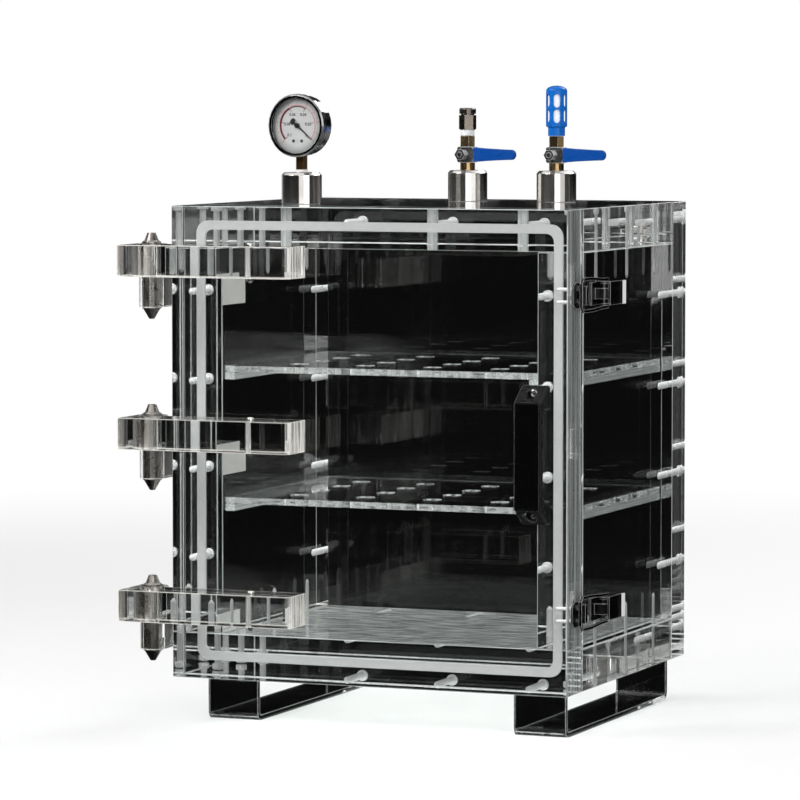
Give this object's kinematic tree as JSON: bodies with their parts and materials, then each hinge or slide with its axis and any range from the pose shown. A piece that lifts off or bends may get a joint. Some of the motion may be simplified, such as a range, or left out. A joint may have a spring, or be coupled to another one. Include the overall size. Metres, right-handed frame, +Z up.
{
  "type": "vacuum desiccator box",
  "caption": "Thick clear acrylic vacuum box with a side-hung door, draw latches, perforated shelves, a dial gauge, ball valves and bent feet.",
  "frame": {"origin": "on the surface that the feet stand on, below the centre of the overall bounding box", "axes": "+Z up, the door faces -Y, its hinges are on the -X side and its latches on the +X side"},
  "size_m": [0.455, 0.383, 0.6087],
  "materials": {
    "clear_acrylic": "polished clear acrylic, milled edges slightly frosted",
    "silicone_rubber": "pale grey translucent silicone",
    "stainless_steel": "turned and pressed stainless steel",
    "chrome_plate": "bright plate",
    "brass": "machined brass, partly plated",
    "black_plastic": "black moulded plastic with a soft sheen",
    "blue_vinyl": "dipped blue vinyl",
    "blue_plastic": "moulded blue plastic",
    "porous_core": "sintered white core",
    "gauge_glass": "flat gauge glass",
    "dial_white": "white printed dial",
    "needle_black": "black painted pointer"
  },
  "bodies": {
    "chamber": {"top_wall": "clear_acrylic", "bottom_wall": "clear_acrylic", "left_wall": "clear_acrylic", "right_wall": "clear_acrylic", "back_wall": "clear_acrylic", "door_gasket": "silicone_rubber", "upper_shelf": "clear_acrylic", "lower_shelf": "clear_acrylic", "upper_rail_left": "clear_acrylic", "upper_rail_right": "clear_acrylic", "lower_rail_left": "clear_acrylic", "lower_rail_right": "clear_acrylic", "foot_left": "clear_acrylic", "foot_right": "clear_acrylic", "hinge_leaf_1": "clear_acrylic", "hinge_leaf_2": "clear_acrylic", "hinge_leaf_3": "clear_acrylic", "hinge_pin_1": "stainless_steel", "hinge_pin_2": "stainless_steel", "hinge_pin_3": "stainless_steel", "latch_base_top": "stainless_steel", "latch_base_bottom": "stainless_steel", "gauge_boss": "stainless_steel", "vent_boss": "stainless_steel", "pump_boss": "stainless_steel", "gauge_stem": "brass", "gauge_case": "chrome_plate", "gauge_bezel": "chrome_plate", "gauge_lens": "gauge_glass", "gauge_dial": "dial_white", "vent_valve_body": "brass", "pump_valve_body": "brass", "port_plug": "stainless_steel", "muffler": "blue_plastic", "muffler_core": "porous_core"},
    "door": {"door_panel": "clear_acrylic", "hinge_arm_1": "clear_acrylic", "hinge_arm_2": "clear_acrylic", "hinge_arm_3": "clear_acrylic", "hinge_bush_1": "stainless_steel", "hinge_bush_2": "stainless_steel", "hinge_bush_3": "stainless_steel", "door_handle": "black_plastic", "latch_keeper_top": "stainless_steel", "latch_keeper_bottom": "stainless_steel"},
    "top_latch_lever": {"latch_lever_top": "stainless_steel"},
    "top_latch_bail": {"latch_bail_top": "stainless_steel"},
    "bottom_latch_lever": {"latch_lever_bottom": "stainless_steel"},
    "bottom_latch_bail": {"latch_bail_bottom": "stainless_steel"},
    "vent_valve_handle": {"vent_valve_stem": "chrome_plate", "vent_valve_lever": "chrome_plate", "vent_lever_sleeve": "blue_vinyl", "vent_lever_nut": "chrome_plate"},
    "pump_valve_handle": {"pump_valve_stem": "chrome_plate", "pump_valve_lever": "chrome_plate", "pump_lever_sleeve": "blue_vinyl", "pump_lever_nut": "chrome_plate"},
    "gauge_pointer": {"gauge_needle": "needle_black"}
  },
  "joints": [
    {"name": "door_hinge", "type": "hinge", "parent": "chamber", "child": "door", "pos_m": [-0.21215, -0.1465, 0.28], "axis": [0, 0, -1], "range_deg": [0, 180]},
    {"name": "top_latch_lever_pivot", "type": "hinge", "parent": "chamber", "child": "top_latch_lever", "pos_m": [0.22015, -0.0775, 0.4155], "axis": [0, 0, -1], "range_deg": [0, 120]},
    {"name": "top_latch_bail_pivot", "type": "hinge", "parent": "top_latch_lever", "child": "top_latch_bail", "pos_m": [0.21915, -0.0675, 0.4155], "axis": [0, 0, 1], "range_deg": [0, 150]},
    {"name": "bottom_latch_lever_pivot", "type": "hinge", "parent": "chamber", "child": "bottom_latch_lever", "pos_m": [0.22015, -0.0775, 0.12], "axis": [0, 0, -1], "range_deg": [0, 120]},
    {"name": "bottom_latch_bail_pivot", "type": "hinge", "parent": "bottom_latch_lever", "child": "bottom_latch_bail", "pos_m": [0.21915, -0.0675, 0.12], "axis": [0, 0, 1], "range_deg": [0, 150]},
    {"name": "vent_valve_turn", "type": "hinge", "parent": "chamber", "child": "vent_valve_handle", "pos_m": [0.00965, 0.1145, 0.541], "axis": [0, -1, 0], "range_deg": [0, 90]},
    {"name": "pump_valve_turn", "type": "hinge", "parent": "chamber", "child": "pump_valve_handle", "pos_m": [0.10285, 0.1145, 0.541], "axis": [0, -1, 0], "range_deg": [0, 90]},
    {"name": "gauge_needle_turn", "type": "hinge", "parent": "chamber", "child": "gauge_pointer", "pos_m": [-0.10015, -0.0445, 0.5703], "axis": [-0.1045, -0.9945, 0], "range_deg": [0, 270]}
  ],
  "couplings": [
    {"joint": "top_latch_bail_pivot", "follows": "top_latch_lever_pivot", "ratio": 1.25},
    {"joint": "bottom_latch_bail_pivot", "follows": "bottom_latch_lever_pivot", "ratio": 1.25}
  ]
}
